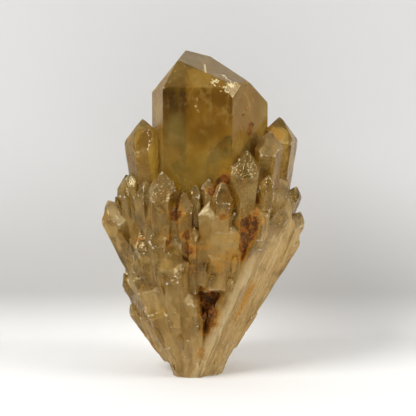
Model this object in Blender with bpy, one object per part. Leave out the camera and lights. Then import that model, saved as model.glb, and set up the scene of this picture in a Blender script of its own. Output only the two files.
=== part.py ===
"""A citrine cluster: quartz crystals that fan out of one root and have grown together in one solid.

Each crystal is cut from a block by planes, as quartz grows: six prism faces and six end faces at
the mineral's own angle. One Boolean union joins them all to the root, which is cut off flat.
Sizes in the tables are millimetres: x to the right, y away from the front, z up from the cut.
"""

import math
import random
from typing import NamedTuple

import bmesh
import bpy
from mathutils import Vector

MM = 0.001
NODE = "citrine_cluster"

# Quartz: the end faces lean this far from straight up the crystal's axis.
END_TILT = 51.8
# A hexagon's apothem as a share of its half width across the corners.
APOTHEM = math.cos(math.radians(30))
# Most crystals point away from about this place, below the cut. Some groups have their own.
FAN_CENTRE = (-2.7, 0.0, -19.0)
LEFT_FOOT = (-9.0, -1.0, -19.0)
LEANING_FOOT = (5.0, 0.0, -19.0)
RIGHT_FOOT = (14.0, -1.0, -19.0)
LOW_FOOT = (3.0, 2.0, -19.0)
BACK_FOOT = (1.5, 0.0, -19.0)
# The slender crystals on the right stand almost side by side, so theirs is far away.
RIGHT_FAN_FOOT = (-22.0, 2.0, -46.0)
# A crystal narrows towards its foot to this share of its width.
NARROWING = 0.4
# How far a crystal's prism faces stray from a regular hexagon, and its smaller end faces' lift.
STRAY = 0.14
SMALL_FACE_LIFT = 0.22
# How far a broken point's face leans to the front.
BREAK_SLANT = 0.3
# The block that a crystal is cut from.
BLOCK = 400.0
# A crystal that reaches the cut runs on to here, and is then cut flat.
THROUGH_CUT = -3.0

# The root: its outline at the cut, and the same points further up, inside the crystals around it.
CUT_OUTLINE = (
    (-7.6, -1.5), (-6.8, -6.0), (-4.0, -8.4), (0.5, -8.6), (5.0, -8.2),
    (7.4, -4.5), (7.6, 3.0), (4.0, 8.6), (-3.5, 9.6), (-8.4, 6.0),
)
# Height, then how many times as wide and as deep as the cut, then how far right and back it is.
ROOT_LEVELS = (
    (0.0, 1.0, 1.0, 0.0, 0.0),
    (18.0, 1.7, 1.05, 1.0, 1.2),
    (36.0, 2.4, 1.2, 3.4, 2.0),
    (58.0, 2.6, 1.35, 4.6, 1.0),
)
CUT_BOX = 60.0

# Where crystals have grown together with no faces of their own: the corners of each such mass.
MASSES = {
    "slab": (
        (18.6, -17.0, 51.0), (13.0, -16.0, 41.0), (6.8, -14.0, 30.6), (2.3, -12.2, 19.0),
        (-1.4, -10.5, 7.0), (-3.5, -9.0, -3.0), (20.3, -17.6, 52.0), (15.0, -17.3, 42.0),
        (8.8, -15.3, 31.0), (4.2, -13.5, 19.5), (0.6, -11.8, 7.0), (-1.5, -10.3, -3.0),
        (26.0, -11.5, 57.0), (30.6, -6.5, 52.0), (33.0, -2.0, 45.5), (29.0, -3.0, 38.0),
        (9.5, -4.0, 5.5), (4.0, -4.0, -3.0), (22.0, 2.0, 55.0), (31.0, 4.0, 46.0), (2.0, 4.0, -3.0),
    ),
    "right_flank": (
        (32.3, 2.0, 46.5), (30.6, 6.5, 50.0), (24.0, 10.0, 56.0), (30.0, -3.0, 50.0),
        (28.4, 2.0, 37.5), (26.0, 7.5, 37.0), (9.3, 0.0, 4.6), (8.4, 5.0, 4.6), (4.0, 8.0, 4.0),
        (2.0, 0.0, 0.0), (2.0, 5.0, 30.0), (16.0, -5.0, 50.0),
    ),
    "low_mass": (
        (-23.6, -4.0, 26.0), (-20.6, -4.0, 17.0), (-13.9, -4.0, 8.5), (-7.4, -3.0, -0.5),
        (-22.8, -4.0, 34.0), (-20.0, -13.0, 29.0), (-14.5, -17.6, 31.5), (-7.5, -19.4, 28.5),
        (-1.4, -17.0, 26.0), (0.4, -12.0, 28.0), (1.2, -13.0, 17.0), (-3.6, -16.4, 14.0),
        (-12.0, -13.2, 12.0), (-5.5, -6.5, -3.0), (-3.5, -9.5, -3.0), (0.5, -9.0, -3.0),
        (-15.0, -12.0, 38.5), (-6.5, -13.0, 38.0), (-1.5, -9.0, 33.0), (-20.0, 4.0, 34.0),
        (0.0, 0.0, 33.0), (-5.0, 4.0, -3.0), (0.0, 3.0, -3.0),
    ),
    "left_mass": (
        (-22.0, -11.5, 36.0), (-21.5, -13.2, 43.0), (-15.5, -17.8, 46.5), (-9.5, -19.2, 43.5),
        (-5.8, -18.2, 46.0), (-4.8, -16.8, 31.0), (-12.0, -18.0, 31.0), (-19.5, -9.0, 51.0),
        (-14.0, -12.5, 55.0), (-6.5, -12.5, 54.0), (-20.0, -5.0, 52.0), (-5.5, -8.0, 53.0),
        (-22.0, -3.0, 36.0), (-4.5, -5.0, 30.0),
    ),
    "middle_mass": (
        (-3.3, -17.4, 45.0), (3.0, -19.6, 50.5), (9.6, -19.2, 47.0), (15.8, -17.2, 50.0),
        (-2.6, -15.5, 33.0), (4.0, -15.5, 31.5), (9.0, -15.0, 30.0), (12.8, -14.5, 35.0),
        (-3.0, -12.5, 53.0), (2.5, -13.5, 58.5), (9.5, -13.5, 56.0), (15.5, -12.0, 58.5),
        (-2.0, -5.0, 30.0), (13.0, -5.0, 32.0), (-3.5, -8.0, 55.0), (16.5, -8.0, 56.0),
    ),
    "right_mass": (
        (12.5, -14.4, 60.0), (18.0, -15.6, 62.5), (23.6, -13.0, 60.0), (29.0, -8.0, 59.0),
        (13.0, -10.0, 66.0), (18.5, -10.0, 69.0), (24.0, -8.0, 66.5), (29.0, -3.0, 65.0),
        (13.5, -14.5, 56.0), (18.8, -16.0, 54.5), (25.6, -12.4, 52.0), (30.6, -5.0, 50.0),
        (13.0, -5.0, 60.0), (29.0, 3.0, 63.0), (30.0, 5.0, 50.0), (20.0, 5.0, 50.0),
    ),
    "left_high_mass": (
        (-24.4, -6.5, 56.0), (-21.6, -10.6, 58.5), (-16.5, -15.4, 60.5), (-10.5, -16.6, 57.0),
        (-6.0, -15.6, 59.0), (-22.5, -9.5, 46.0), (-16.0, -16.4, 49.0), (-7.0, -17.2, 49.0),
        (-21.0, -3.0, 64.0), (-15.5, -9.0, 67.0), (-7.0, -11.0, 65.0), (-21.5, 2.0, 62.0),
        (-6.0, -5.0, 63.0), (-22.5, 0.0, 46.0),
    ),
}

# The tall crystal: each prism face's azimuth (0 is the front, 90 the right) and its distance from
# the middle line. Then each end face's azimuth, its tilt from level and its height at that line.
TALL_SIDES = (
    (-68.0, 15.4), (-8.0, 13.4), (52.0, 17.5), (112.0, 20.4), (172.0, 12.5), (232.0, 10.5),
)
TALL_ENDS = (
    (-68.0, END_TILT, 116.2),
    (-8.0, END_TILT, 113.9),
    (52.0, END_TILT, 119.7),
    (112.0, 43.0, 109.0),
    (172.0, END_TILT, 110.8),
    (232.0, END_TILT, 114.1),
    (-96.0, 51.3, 112.8),
    (50.0, 20.1, 104.4),
)
# The chip at its front right corner, and where its foot is buried.
TALL_CHIP = ((9.4, -14.3, 96.4), (0.42, -0.80, 0.43))
TALL_FOOT = 30.0


class Crystal(NamedTuple):
    tip: tuple
    width: float
    depth: float = 1.0
    turn: float = 0.0
    shift: tuple = (0.0, 0.0)
    down_to: float = 20.0
    foot: tuple = FAN_CENTRE
    broken: float = 0.0


CRYSTALS = {
    # Left of the tall crystal, from the top down.
    "left_high": Crystal((-18.5, -6.5, 85.8), 11.8, 1.1, 0, (0.2, 0.4), 25, LEFT_FOOT),
    "left_high_back": Crystal((-17.5, 4.0, 78.0), 10.0, 1.0, 20),
    "left_shoulder": Crystal((-24.0, -5.0, 67.3), 9.5, 1.2, 20, (-0.1, 0.1), 20, (-12, 0, -19)),
    "left_shoulder_small": Crystal((-21.8, -8.5, 69.4), 6.5, 1.0, -20, (0.0, 0.2), 35, (-12, -1, -19)),
    "left_step": Crystal((-12.0, -15.0, 70.2), 10.5, 0.9, -4, (0.1, 0.5), 25, LEFT_FOOT),
    "left_step_side": Crystal((-17.6, -12.5, 67.0), 8.5, 1.0, 18, (0.1, 0.2), 25, LEFT_FOOT),
    "left_middle": Crystal((-14.2, -15.4, 54.5), 10.0, 0.9, 4, (0.0, 0.5), 15, LEFT_FOOT),
    "left_column": Crystal((-18.6, -12.6, 52.0), 9.5, 1.0, -8, (0.0, 0.4), 20, (-4, -1, -19)),
    "left_low": Crystal((-30.2, -4.0, 58.6), 14.0, 0.9, 26, (-0.3, 0.1), 5, (4, 0, -19)),
    "left_low_back": Crystal((-25.0, 6.0, 54.0), 11.0, 1.0, 40, (0.0, 0.0), 10),
    "left_stub": Crystal((-25.0, -4.5, 34.0), 8.5, 1.2, 25, (-0.35, 0.1), THROUGH_CUT, (7, 0, -19)),
    "left_stub_front": Crystal((-22.0, -9.5, 38.5), 7.5, 1.0, 10, (0, 0.2), THROUGH_CUT, LEANING_FOOT),
    "left_tooth_high": Crystal((-23.0, -4.0, 23.4), 5.0, 1.5, 15, (-0.3, 0), 4, LEANING_FOOT),
    "left_tooth_low": Crystal((-18.4, -3.0, 15.0), 4.6, 1.6, 35, (-0.3, 0), 4, LEANING_FOOT),
    # Right of it.
    "right_high": Crystal((26.0, 1.0, 85.2), 12.4, 1.1, 12, (-0.2, 0.1), 42, RIGHT_FOOT),
    "right_high_front": Crystal((22.8, -8.5, 82.2), 9.5, 1.0, -3, (0.0, 0.3), 44, RIGHT_FOOT),
    "right_peak": Crystal((15.2, -14.6, 77.0), 11.0, 1.0, 20, (0.1, 0.3), 45, (9, -2, -19)),
    "right_peak_side": Crystal((20.0, -13.2, 64.0), 9.5, 1.0, 8, (0.1, 0.4), 45, (10, -2, -19)),
    "right_broad": Crystal((27.5, -5.5, 61.0), 10.5, 1.0, 2, (0.0, 0.6), 40, (-14, 4, -40), 1.5),
    "right_edge": Crystal((31.8, 1.0, 62.2), 7.0, 1.4, 10, (0.3, 0.0), 38, (6, 1, -19)),
    "right_edge_low": Crystal((33.2, -1.5, 54.2), 7.0, 1.4, -10, (0.25, 0.0), 38, (2, 0, -19)),
    "right_chip": Crystal((22.2, -16.6, 69.4), 4.6, 0.9, 12, (0.1, 0.3), 58, RIGHT_FOOT),
    "right_lump": Crystal((19.6, -17.4, 56.9), 3.8, 1.0, 0, (0.0, 0.2), 48, RIGHT_FOOT),
    # In front of it, above the crevice.
    "front_step": Crystal((7.5, -16.4, 67.6), 8.0, 0.9, 2, (0.0, 0.55), 32, (4, -2, -19)),
    "front_round": Crystal((4.0, -16.6, 62.4), 9.5, 0.9, 30, (0.0, 0.3), 34, (1, -3, -19)),
    "front_narrow": Crystal((3.0, -15.6, 68.0), 5.4, 1.0, 4, (0.0, 0.3), 45, (1.5, -3, -19)),
    "front_small": Crystal((-1.4, -15.6, 65.9), 4.4, 1.0, 0, (0.0, 0.4), 45, (-1, -3, -19)),
    "front_faint": Crystal((-5.2, -15.0, 63.4), 8.0, 1.0, 8, (0.0, 0.3), 30, (-3, -3, -19)),
    "front_slender": Crystal((-1.9, -16.8, 52.8), 5.6, 1.0, -10, (0.0, 0.2), 30, (-2, -4, -19)),
    "front_clear": Crystal((-8.9, -16.2, 60.7), 4.0, 1.0, 15, (0.0, 0.2), 42, (-6, -4, -19)),
    "front_big": Crystal((-9.0, -13.6, 48.0), 12.8, 1.0, -4, (0.0, 0.7), 20, (-5, -3, -19), 2.4),
    "front_middle": Crystal((5.4, -13.8, 50.5), 11.0, 0.9, 14, (0.0, 0.5), 32, (2, -2, -19), 1.8),
    "front_middle_right": Crystal((12.4, -13.8, 51.0), 9.5, 0.9, -8, (0.0, 0.4), 36, (6, -2, -19), 1.0),
    "crevice_left": Crystal((2.7, -13.0, 40.6), 5.4, 1.0, 5, (0.0, 0.3), 30, (1, -4, -19)),
    "crevice_right": Crystal((8.6, -13.8, 41.4), 3.6, 1.0, 20, (0.0, 0.2), 28, (8, -5, -19)),
    "crevice_across": Crystal((4.6, -13.4, 37.2), 3.4, 1.0, 0, (0.0, 0.2), 27, (16, -8, 8)),
    # Long ones on the slab on the right, hardly proud of it.
    "slab_left": Crystal((22.6, -13.2, 57.0), 5.6, 1.0, 38, (0, 0), THROUGH_CUT, RIGHT_FAN_FOOT),
    "slab_middle": Crystal((26.2, -9.2, 57.5), 5.0, 1.0, 40, (0, 0), THROUGH_CUT, RIGHT_FAN_FOOT),
    "slab_right": Crystal((29.6, -5.2, 52.5), 5.4, 1.0, 35, (0, 0), THROUGH_CUT, RIGHT_FAN_FOOT),
    "slab_edge": Crystal((32.4, -2.0, 45.6), 5.6, 1.0, 48, (0.3, 0), THROUGH_CUT, RIGHT_FAN_FOOT),
    "slab_edge_low": Crystal((18.6, -3.6, 21.0), 3.6, 1.0, 45, (0.3, 0), 8, RIGHT_FAN_FOOT),
    # Low in front, left of the crevice.
    "low_broad": Crystal((-8.2, -13.4, 35.6), 13.0, 0.9, 4, (0.15, 0.7), THROUGH_CUT, (-2, 2, -16), 3.2),
    "low_left": Crystal((-15.8, -12.0, 32.5), 12.0, 0.9, -6, (0.0, 0.6), THROUGH_CUT, LOW_FOOT, 1.6),
    "low_outer": Crystal((-18.6, -9.6, 25.0), 7.5, 1.0, 14, (0, 0.3), THROUGH_CUT, LEANING_FOOT),
    "low_inner": Crystal((-2.2, -12.4, 25.5), 8.5, 0.9, -4, (0.0, 0.4), THROUGH_CUT, (-3, 0, -16)),
    "low_lump": Crystal((-11.6, -11.4, 17.0), 8.0, 0.9, 24, (0.0, 0.3), THROUGH_CUT, LOW_FOOT, 1.0),
    # Behind it.
    "back_left_tall": Crystal((-8.0, 12.0, 74.0), 12.5, 1.0, 8, (0.0, -0.2), 25, (-4, 2, -19)),
    "back_right_tall": Crystal((11.0, 12.5, 79.0), 13.5, 1.0, -10, (0.1, -0.3), 25, (5, 2, -19)),
    "back_left": Crystal((-17.0, 10.5, 60.0), 11.0, 1.0, 20, (0.0, -0.2), 15),
    "back_right": Crystal((21.0, 10.0, 67.0), 11.5, 1.0, 0, (0.1, -0.2), 20, (8, 1, -19)),
    "back_middle": Crystal((1.0, 15.8, 61.0), 11.5, 1.0, 14, (0.0, -0.3), 20),
    "back_right_low": Crystal((25.0, 8.5, 48.0), 10.5, 1.0, 25, (0.0, -0.2), 5),
    "back_left_low": Crystal((-21.5, 9.5, 43.0), 10.5, 1.0, 5, (0.0, -0.2), THROUGH_CUT, BACK_FOOT),
    "back_broad": Crystal((-6.0, 15.6, 45.0), 12.0, 0.9, -6, (0.0, -0.4), 5),
    "back_broad_right": Crystal((12.0, 15.2, 48.0), 11.5, 0.9, 12, (0.0, -0.3), 5),
    "back_low_left": Crystal((-13.0, 12.4, 31.0), 10.5, 1.0, 0, (0.0, -0.3), THROUGH_CUT, BACK_FOOT),
    "back_low_right": Crystal((15.0, 11.4, 31.0), 10.0, 1.0, 18, (0.0, -0.3), THROUGH_CUT),
    "back_low": Crystal((2.0, 13.8, 29.0), 11.0, 1.0, 10, (0.0, -0.3), THROUGH_CUT),
    "back_small_left": Crystal((-12.0, 15.4, 53.0), 6.0, 1.0, 16, (0.0, -0.2), 30),
    "back_small": Crystal((5.5, 18.0, 51.5), 5.6, 1.0, 4, (0.0, -0.2), 30),
    "back_small_right": Crystal((17.5, 14.4, 56.0), 6.4, 1.0, -14, (0.0, -0.2), 30),
}


class Bundle(NamedTuple):
    first: tuple
    last: tuple
    count: int
    width: float
    seed: int
    foot: tuple = RIGHT_FAN_FOOT
    scatter: float = 1.6


# Slender crystals side by side: their tips lie near the line from the first tip to the last.
BUNDLES = {
    "right_fan_back": Bundle((30.5, 5.5, 42.0), (21.0, 9.0, 33.0), 4, 5.5, 19),
    "left_fan_back": Bundle((-27.0, 2.5, 42.0), (-18.5, 8.0, 25.0), 4, 5.5, 23, LEANING_FOOT),
    "back_fan": Bundle((-7.5, 15.0, 34.0), (8.5, 15.0, 37.0), 4, 5.0, 29, FAN_CENTRE),
    "back_fan_low": Bundle((-8.5, 11.0, 18.0), (8.5, 11.4, 20.0), 4, 5.0, 31, FAN_CENTRE),
}


def bundle_crystals(name, bundle):
    dice = random.Random(bundle.seed)
    for k in range(bundle.count):
        share = k / (bundle.count - 1)
        tip = Vector(bundle.first).lerp(Vector(bundle.last), share)
        tip += Vector([dice.uniform(-0.5, 0.5) * s for s in (1, 1, bundle.scatter)])
        width = bundle.width * dice.uniform(0.85, 1.2)
        turn = dice.uniform(0, 60)
        yield f"{name}_{k}", Crystal(tuple(tip), width, 1.0, turn, (0, 0), THROUGH_CUT, bundle.foot)


def level_direction(azimuth):
    """The level direction at an azimuth: 0 is the front, 90 the right."""
    angle = math.radians(azimuth)
    return Vector((math.sin(angle), -math.cos(angle), 0))


def quartz_planes(crystal, dice):
    """The planes that bound one crystal, each a point and an outward direction."""
    tip = Vector(crystal.tip)
    axis = tip - Vector(crystal.foot)
    whole = axis.length
    axis.normalize()
    reach = (tip.z - crystal.down_to) / axis.z
    right = Vector((1, 0, 0)) - axis * axis.x
    right.normalize()
    back = axis.cross(right)
    half = crystal.width / 2 * APOTHEM
    middle = tip - (right * crystal.shift[0] + back * crystal.shift[1]) * half
    tilt = math.radians(END_TILT)
    planes = [(tip - axis * reach, -axis)]
    for k in range(6):
        angle = math.radians(crystal.turn + 60 * k)
        out = right * math.sin(angle) - back * math.cos(angle)
        away = half * math.hypot(math.sin(angle), crystal.depth * math.cos(angle))
        away *= dice.uniform(1 - STRAY, 1 + STRAY)
        side = out - axis * (1 - NARROWING) * away / whole
        planes.append((middle + out * away, side.normalized()))
        lift = half * SMALL_FACE_LIFT * dice.random() if k % 2 else 0.0
        planes.append((tip + axis * lift, out * math.sin(tilt) + axis * math.cos(tilt)))
    if crystal.broken:
        slant = right * dice.uniform(-BREAK_SLANT, BREAK_SLANT) - back * BREAK_SLANT
        planes.append((tip - axis * crystal.broken, (axis + slant).normalized()))
    return planes


def tall_planes():
    """The planes of the tall crystal, which stands upright."""
    planes = [(Vector((0, 0, TALL_FOOT)), Vector((0, 0, -1)))]
    for azimuth, away in TALL_SIDES:
        out = level_direction(azimuth)
        planes.append((out * away, out))
    for azimuth, tilt, height in TALL_ENDS:
        lean = math.radians(tilt)
        end = level_direction(azimuth) * math.sin(lean) + Vector((0, 0, math.cos(lean)))
        planes.append((Vector((0, 0, height)), end))
    point, direction = TALL_CHIP
    planes.append((Vector(point), Vector(direction).normalized()))
    return planes


def cut_from_block(planes):
    """A convex solid: a block with everything outside each plane cut away."""
    shape = bmesh.new()
    bmesh.ops.create_cube(shape, size=BLOCK)
    for point, direction in planes:
        parts = shape.verts[:] + shape.edges[:] + shape.faces[:]
        cut = bmesh.ops.bisect_plane(
            shape, geom=parts, dist=1e-5, plane_co=point, plane_no=direction, clear_outer=True
        )
        rim = [part for part in cut["geom_cut"] if isinstance(part, bmesh.types.BMEdge)]
        if rim:
            bmesh.ops.edgeloop_fill(shape, edges=rim)
    bmesh.ops.recalc_face_normals(shape, faces=shape.faces)
    bmesh.ops.scale(shape, vec=(MM, MM, MM), verts=shape.verts)
    return shape


def mesh_object(name, shape, collection):
    mesh = bpy.data.meshes.new(name)
    shape.to_mesh(mesh)
    shape.free()
    made = bpy.data.objects.new(name, mesh)
    collection.objects.link(made)
    return made


def as_helper(made):
    made.hide_render = True
    made.display_type = "WIRE"
    return made


def hull_of(corners):
    """The smallest convex solid that holds all the corners."""
    shape = bmesh.new()
    for corner in corners:
        shape.verts.new(Vector(corner) * MM)
    hull = bmesh.ops.convex_hull(shape, input=shape.verts)
    spare = [part for part in hull["geom_interior"] if isinstance(part, bmesh.types.BMVert)]
    bmesh.ops.delete(shape, geom=spare, context="VERTS")
    bmesh.ops.recalc_face_normals(shape, faces=shape.faces)
    return shape


def root_corners():
    """The root that the crystals stand in widens upwards from the cut."""
    for height, wide, deep, aside, behind in ROOT_LEVELS:
        for x, y in CUT_OUTLINE:
            yield x * wide + aside, y * deep + behind, height


def below_cut(collection):
    shape = bmesh.new()
    bmesh.ops.create_cube(shape, size=CUT_BOX * MM)
    bmesh.ops.translate(shape, vec=(0, 0, -CUT_BOX / 2 * MM), verts=shape.verts)
    return as_helper(mesh_object("below_cut", shape, collection))


def citrine_material():
    material = bpy.data.materials.new("citrine")
    material.use_nodes = True
    shader = material.node_tree.nodes["Principled BSDF"]
    shader.inputs["Base Color"].default_value = (0.42, 0.28, 0.10, 1.0)
    shader.inputs["Roughness"].default_value = 0.25
    shader.inputs["Metallic"].default_value = 0.0
    return material


def boolean(made, name, operation, **target):
    modifier = made.modifiers.new(name, "BOOLEAN")
    modifier.solver = "EXACT"
    modifier.operation = operation
    for key, value in target.items():
        setattr(modifier, key, value)


def apply_booleans(made):
    """The solid that the Booleans give, without the gaps that are sealed inside it."""
    graph = bpy.context.evaluated_depsgraph_get()
    mesh = bpy.data.meshes.new_from_object(made.evaluated_get(graph))
    made.modifiers.clear()
    made.data = mesh
    shape = bmesh.new()
    shape.from_mesh(mesh)
    outer = max(shells(shape), key=len)
    bmesh.ops.delete(shape, geom=[v for v in shape.verts if v not in outer], context="VERTS")
    shape.to_mesh(mesh)
    shape.free()


def shells(shape):
    """The separate closed surfaces of a mesh, each a set of its points."""
    waiting = set(shape.verts)
    while waiting:
        shell = set()
        edge = {waiting.pop()}
        while edge:
            shell |= edge
            edge = {e.other_vert(v) for v in edge for e in v.link_edges} - shell
        waiting -= shell
        yield shell


def main():
    for old in list(bpy.data.objects):
        bpy.data.objects.remove(old)
    scene = bpy.context.scene.collection
    crystals = bpy.data.collections.new("crystals")
    scene.children.link(crystals)
    as_helper(mesh_object("tall", cut_from_block(tall_planes()), crystals))
    grown = list(CRYSTALS.items())
    for name, bundle in BUNDLES.items():
        grown.extend(bundle_crystals(name, bundle))
    for name, crystal in grown:
        planes = quartz_planes(crystal, random.Random(name))
        as_helper(mesh_object(name, cut_from_block(planes), crystals))
    for name, corners in MASSES.items():
        as_helper(mesh_object(name, hull_of(corners), crystals))
    cluster = mesh_object(NODE, hull_of(root_corners()), scene)
    cluster.data.materials.append(citrine_material())
    boolean(cluster, "grow together", "UNION", operand_type="COLLECTION", collection=crystals)
    boolean(cluster, "flat cut", "DIFFERENCE", object=below_cut(scene))
    apply_booleans(cluster)


main()
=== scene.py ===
"""The finished citrine cluster, laid out as a Blender add-on and run as a script.

Sizes in the tables are millimetres in the model's own frame: x to the right, y away from the
front, z up from the flat cut.
"""

import math
from types import SimpleNamespace

import bmesh
import bpy
import numpy as np
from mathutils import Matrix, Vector
from mathutils.bvhtree import BVHTree


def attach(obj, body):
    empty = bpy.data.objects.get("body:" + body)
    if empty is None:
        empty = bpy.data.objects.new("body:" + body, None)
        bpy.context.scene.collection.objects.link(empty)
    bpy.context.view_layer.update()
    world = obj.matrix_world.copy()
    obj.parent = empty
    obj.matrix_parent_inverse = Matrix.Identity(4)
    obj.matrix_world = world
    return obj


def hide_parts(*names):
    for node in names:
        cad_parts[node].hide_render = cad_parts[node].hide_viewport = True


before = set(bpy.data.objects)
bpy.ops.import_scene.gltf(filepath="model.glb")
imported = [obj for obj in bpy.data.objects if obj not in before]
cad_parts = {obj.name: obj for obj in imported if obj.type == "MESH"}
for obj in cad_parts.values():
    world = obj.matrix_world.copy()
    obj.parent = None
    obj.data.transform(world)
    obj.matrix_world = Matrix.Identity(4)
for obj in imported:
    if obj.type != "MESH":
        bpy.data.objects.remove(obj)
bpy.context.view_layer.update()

bl_info = {
    "name": "Citrine Cluster",
    "version": (1, 0, 0),
    "blender": (4, 5, 0),
    "location": "View3D > Sidebar > Citrine",
    "description": "Builds a citrine cluster with its young crystals and iron stains, and a small stage",
    "category": "Add Mesh",
}

MM = 0.001
NODE = "citrine_cluster"
BODY = "root"
# Where most crystals point away from, and where the long ones of the slab on the right do.
FAN_CENTRE = (-2.7, 0.0, -19.0)
SLAB_CENTRE = (-22.0, 2.0, -46.0)
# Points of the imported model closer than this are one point.
WELD = 0.002

# How milky the crystal is: soft balls of frost, each a middle, how far it reaches across,
# deep and up, and how milky it is there.
FROST = (
    ((14.0, -12.0, 26.0), (16.0, 16.0, 26.0), 1.0),
    ((25.0, -8.0, 44.0), (12.0, 12.0, 15.0), 0.95),
    ((-10.0, -10.0, 14.0), (20.0, 20.0, 24.0), 0.85),
    ((-10.0, -16.0, 42.0), (11.0, 9.0, 12.0), 0.8),
    ((-27.0, -4.0, 48.0), (10.0, 14.0, 16.0), 0.55),
    ((6.0, -16.0, 48.0), (14.0, 9.0, 16.0), 0.6),
    ((0.0, 14.0, 22.0), (34.0, 20.0, 34.0), 0.85),
    ((-18.0, -10.0, 62.0), (8.0, 8.0, 9.0), 0.42),
    ((24.0, -8.0, 70.0), (12.0, 10.0, 16.0), 0.4),
    ((3.0, 15.5, 72.0), (22.0, 6.0, 30.0), 0.35),
)
# Besides them, crystals next to the tall one are a little milky, and more so lower down.
FROST_TOP = 74.0
FROST_FADE = 18.0
FROST_BESIDE = 0.22
FROST_LOW = 0.5
# How soft the balls of frost and the stains are: a gain, and the power of the share that is left.
FROST_GAIN = 1.6
FROST_POWER = 1.2
STAIN_POWER = 0.7
# Rust from iron: a middle, a reach and a strength.
RUST = (
    ((4.0, -10.5, 28.0), 8.5, 1.0),
    ((3.0, -11.0, 20.0), 6.5, 1.0),
    ((16.4, -16.8, 53.5), 6.0, 1.0),
    ((14.6, -16.8, 48.0), 4.6, 1.0),
    ((12.8, -16.5, 43.5), 3.8, 0.9),
    ((-7.0, -18.0, 57.0), 4.2, 1.0),
    ((-4.0, -18.3, 49.8), 4.0, 1.0),
    ((-3.2, -18.2, 44.6), 3.8, 0.9),
    ((-2.6, -17.5, 38.5), 3.4, 0.7),
    ((8.0, -19.0, 56.8), 3.4, 1.0),
    ((7.4, -15.0, 67.2), 3.4, 1.0),
    ((3.4, -17.0, 64.0), 3.0, 0.9),
    ((17.4, -15.6, 60.5), 3.0, 0.8),
    ((-20.3, -14.7, 47.1), 3.6, 0.9),
    ((-10.0, -17.5, 47.3), 3.4, 0.9),
    ((-2.0, 16.0, 40.0), 7.0, 0.9),
    ((14.0, 14.0, 46.0), 6.0, 0.8),
    ((-14.0, 12.0, 30.0), 6.0, 0.8),
)
# The thinner iron film that is only ochre.
FILM = (
    ((24.8, -2.8, 81.0), 5.0, 1.0),
    ((23.0, -5.0, 76.0), 3.6, 0.8),
    ((6.0, -18.0, 39.5), 5.5, 1.0),
    ((11.0, -17.5, 43.0), 4.6, 0.8),
    ((1.0, -18.0, 46.0), 4.4, 0.6),
    ((9.0, -15.0, 69.0), 4.4, 0.8),
    ((-12.5, -15.5, 44.0), 4.4, 0.5),
    ((-11.5, -14.5, 25.0), 5.0, 0.5),
    ((-1.0, -11.0, 8.0), 5.0, 0.7),
    ((5.0, 15.0, 52.0), 6.0, 0.8),
    ((-8.0, 13.0, 22.0), 6.0, 0.8),
)
# Small rust spots on the tall crystal's right side: a middle and a reach across, deep and up.
RUST_SPOTS = (
    ((16.6, -7.2, 83.9), (2.0, 3.0, 1.6)),
    ((16.0, -7.8, 81.9), (1.6, 2.4, 2.2)),
    ((13.9, -10.6, 87.7), (0.9, 1.4, 0.7)),
    ((15.2, -8.9, 89.4), (0.7, 1.2, 0.9)),
)


class CitrineSettings(bpy.types.PropertyGroup):
    """Sizes and colours that a user may change."""

    tint: bpy.props.FloatVectorProperty(
        name="Crystal tint", description="What light keeps on its way through clear crystal",
        default=(0.86, 0.72, 0.30), subtype="COLOR", min=0.0, max=1.0,
    )
    tint_strength: bpy.props.FloatProperty(
        name="Tint strength", description="How fast the crystal takes up light, per metre",
        default=105.0, min=0.0,
    )
    milk: bpy.props.FloatVectorProperty(
        name="Milky quartz", description="Colour of the frosted quartz towards the root",
        default=(0.43, 0.245, 0.052), subtype="COLOR", min=0.0, max=1.0,
    )
    rust: bpy.props.FloatVectorProperty(
        name="Rust", description="Colour of the iron in the crevices",
        default=(0.095, 0.026, 0.003), subtype="COLOR", min=0.0, max=1.0,
    )
    ochre: bpy.props.FloatVectorProperty(
        name="Ochre", description="Colour of the thin iron film around the rust",
        default=(0.62, 0.28, 0.022), subtype="COLOR", min=0.0, max=1.0,
    )
    detail: bpy.props.FloatProperty(
        name="Longest edge", description="Longest edge of the finished crystal's mesh",
        default=0.00135, min=0.0005, subtype="DISTANCE", unit="LENGTH",
    )
    ridge: bpy.props.FloatProperty(
        name="Ridge height", description="Height of the growth ridges on frosted crystal",
        default=0.0009, min=0.0, subtype="DISTANCE", unit="LENGTH",
    )
    apart: bpy.props.FloatProperty(
        name="Young crystals apart", description="Shortest distance between two young crystals",
        default=0.0032, min=0.001, subtype="DISTANCE", unit="LENGTH",
    )
    thickness: bpy.props.FloatProperty(
        name="Young crystal thickness", description="Half the width of a young crystal",
        default=0.0012, min=0.0001, subtype="DISTANCE", unit="LENGTH",
    )
    length: bpy.props.FloatProperty(
        name="Young crystal length", description="Length of a young crystal with its foot",
        default=0.0080, min=0.001, subtype="DISTANCE", unit="LENGTH",
    )


class Wire:
    """A node's output that Python expressions can work with."""

    def __init__(self, nodes, socket):
        self.nodes = nodes
        self.socket = socket

    def maths(self, operation, *others):
        values = dict(enumerate((self, *others)))
        return self.nodes.add("ShaderNodeMath", {"operation": operation}, values)

    def __add__(self, other):
        return self.maths("ADD", other)

    def __mul__(self, other):
        return self.maths("MULTIPLY", other)

    __radd__ = __add__
    __rmul__ = __mul__

    def __sub__(self, other):
        return self.maths("SUBTRACT", other)

    def __rsub__(self, other):
        return self * -1 + other

    def clamped(self):
        return self.maths("MINIMUM", 1.0).maths("MAXIMUM", 0.0)

    def other(self, out):
        """Another output of the same node."""
        return Wire(self.nodes, self.socket.node.outputs[out])

    def ramp(self, low, high):
        """0 at low, 1 at high and smooth between them."""
        smooth = {"interpolation_type": "SMOOTHSTEP"}
        return self.nodes.add("ShaderNodeMapRange", smooth, {0: self, 1: low, 2: high})


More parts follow.
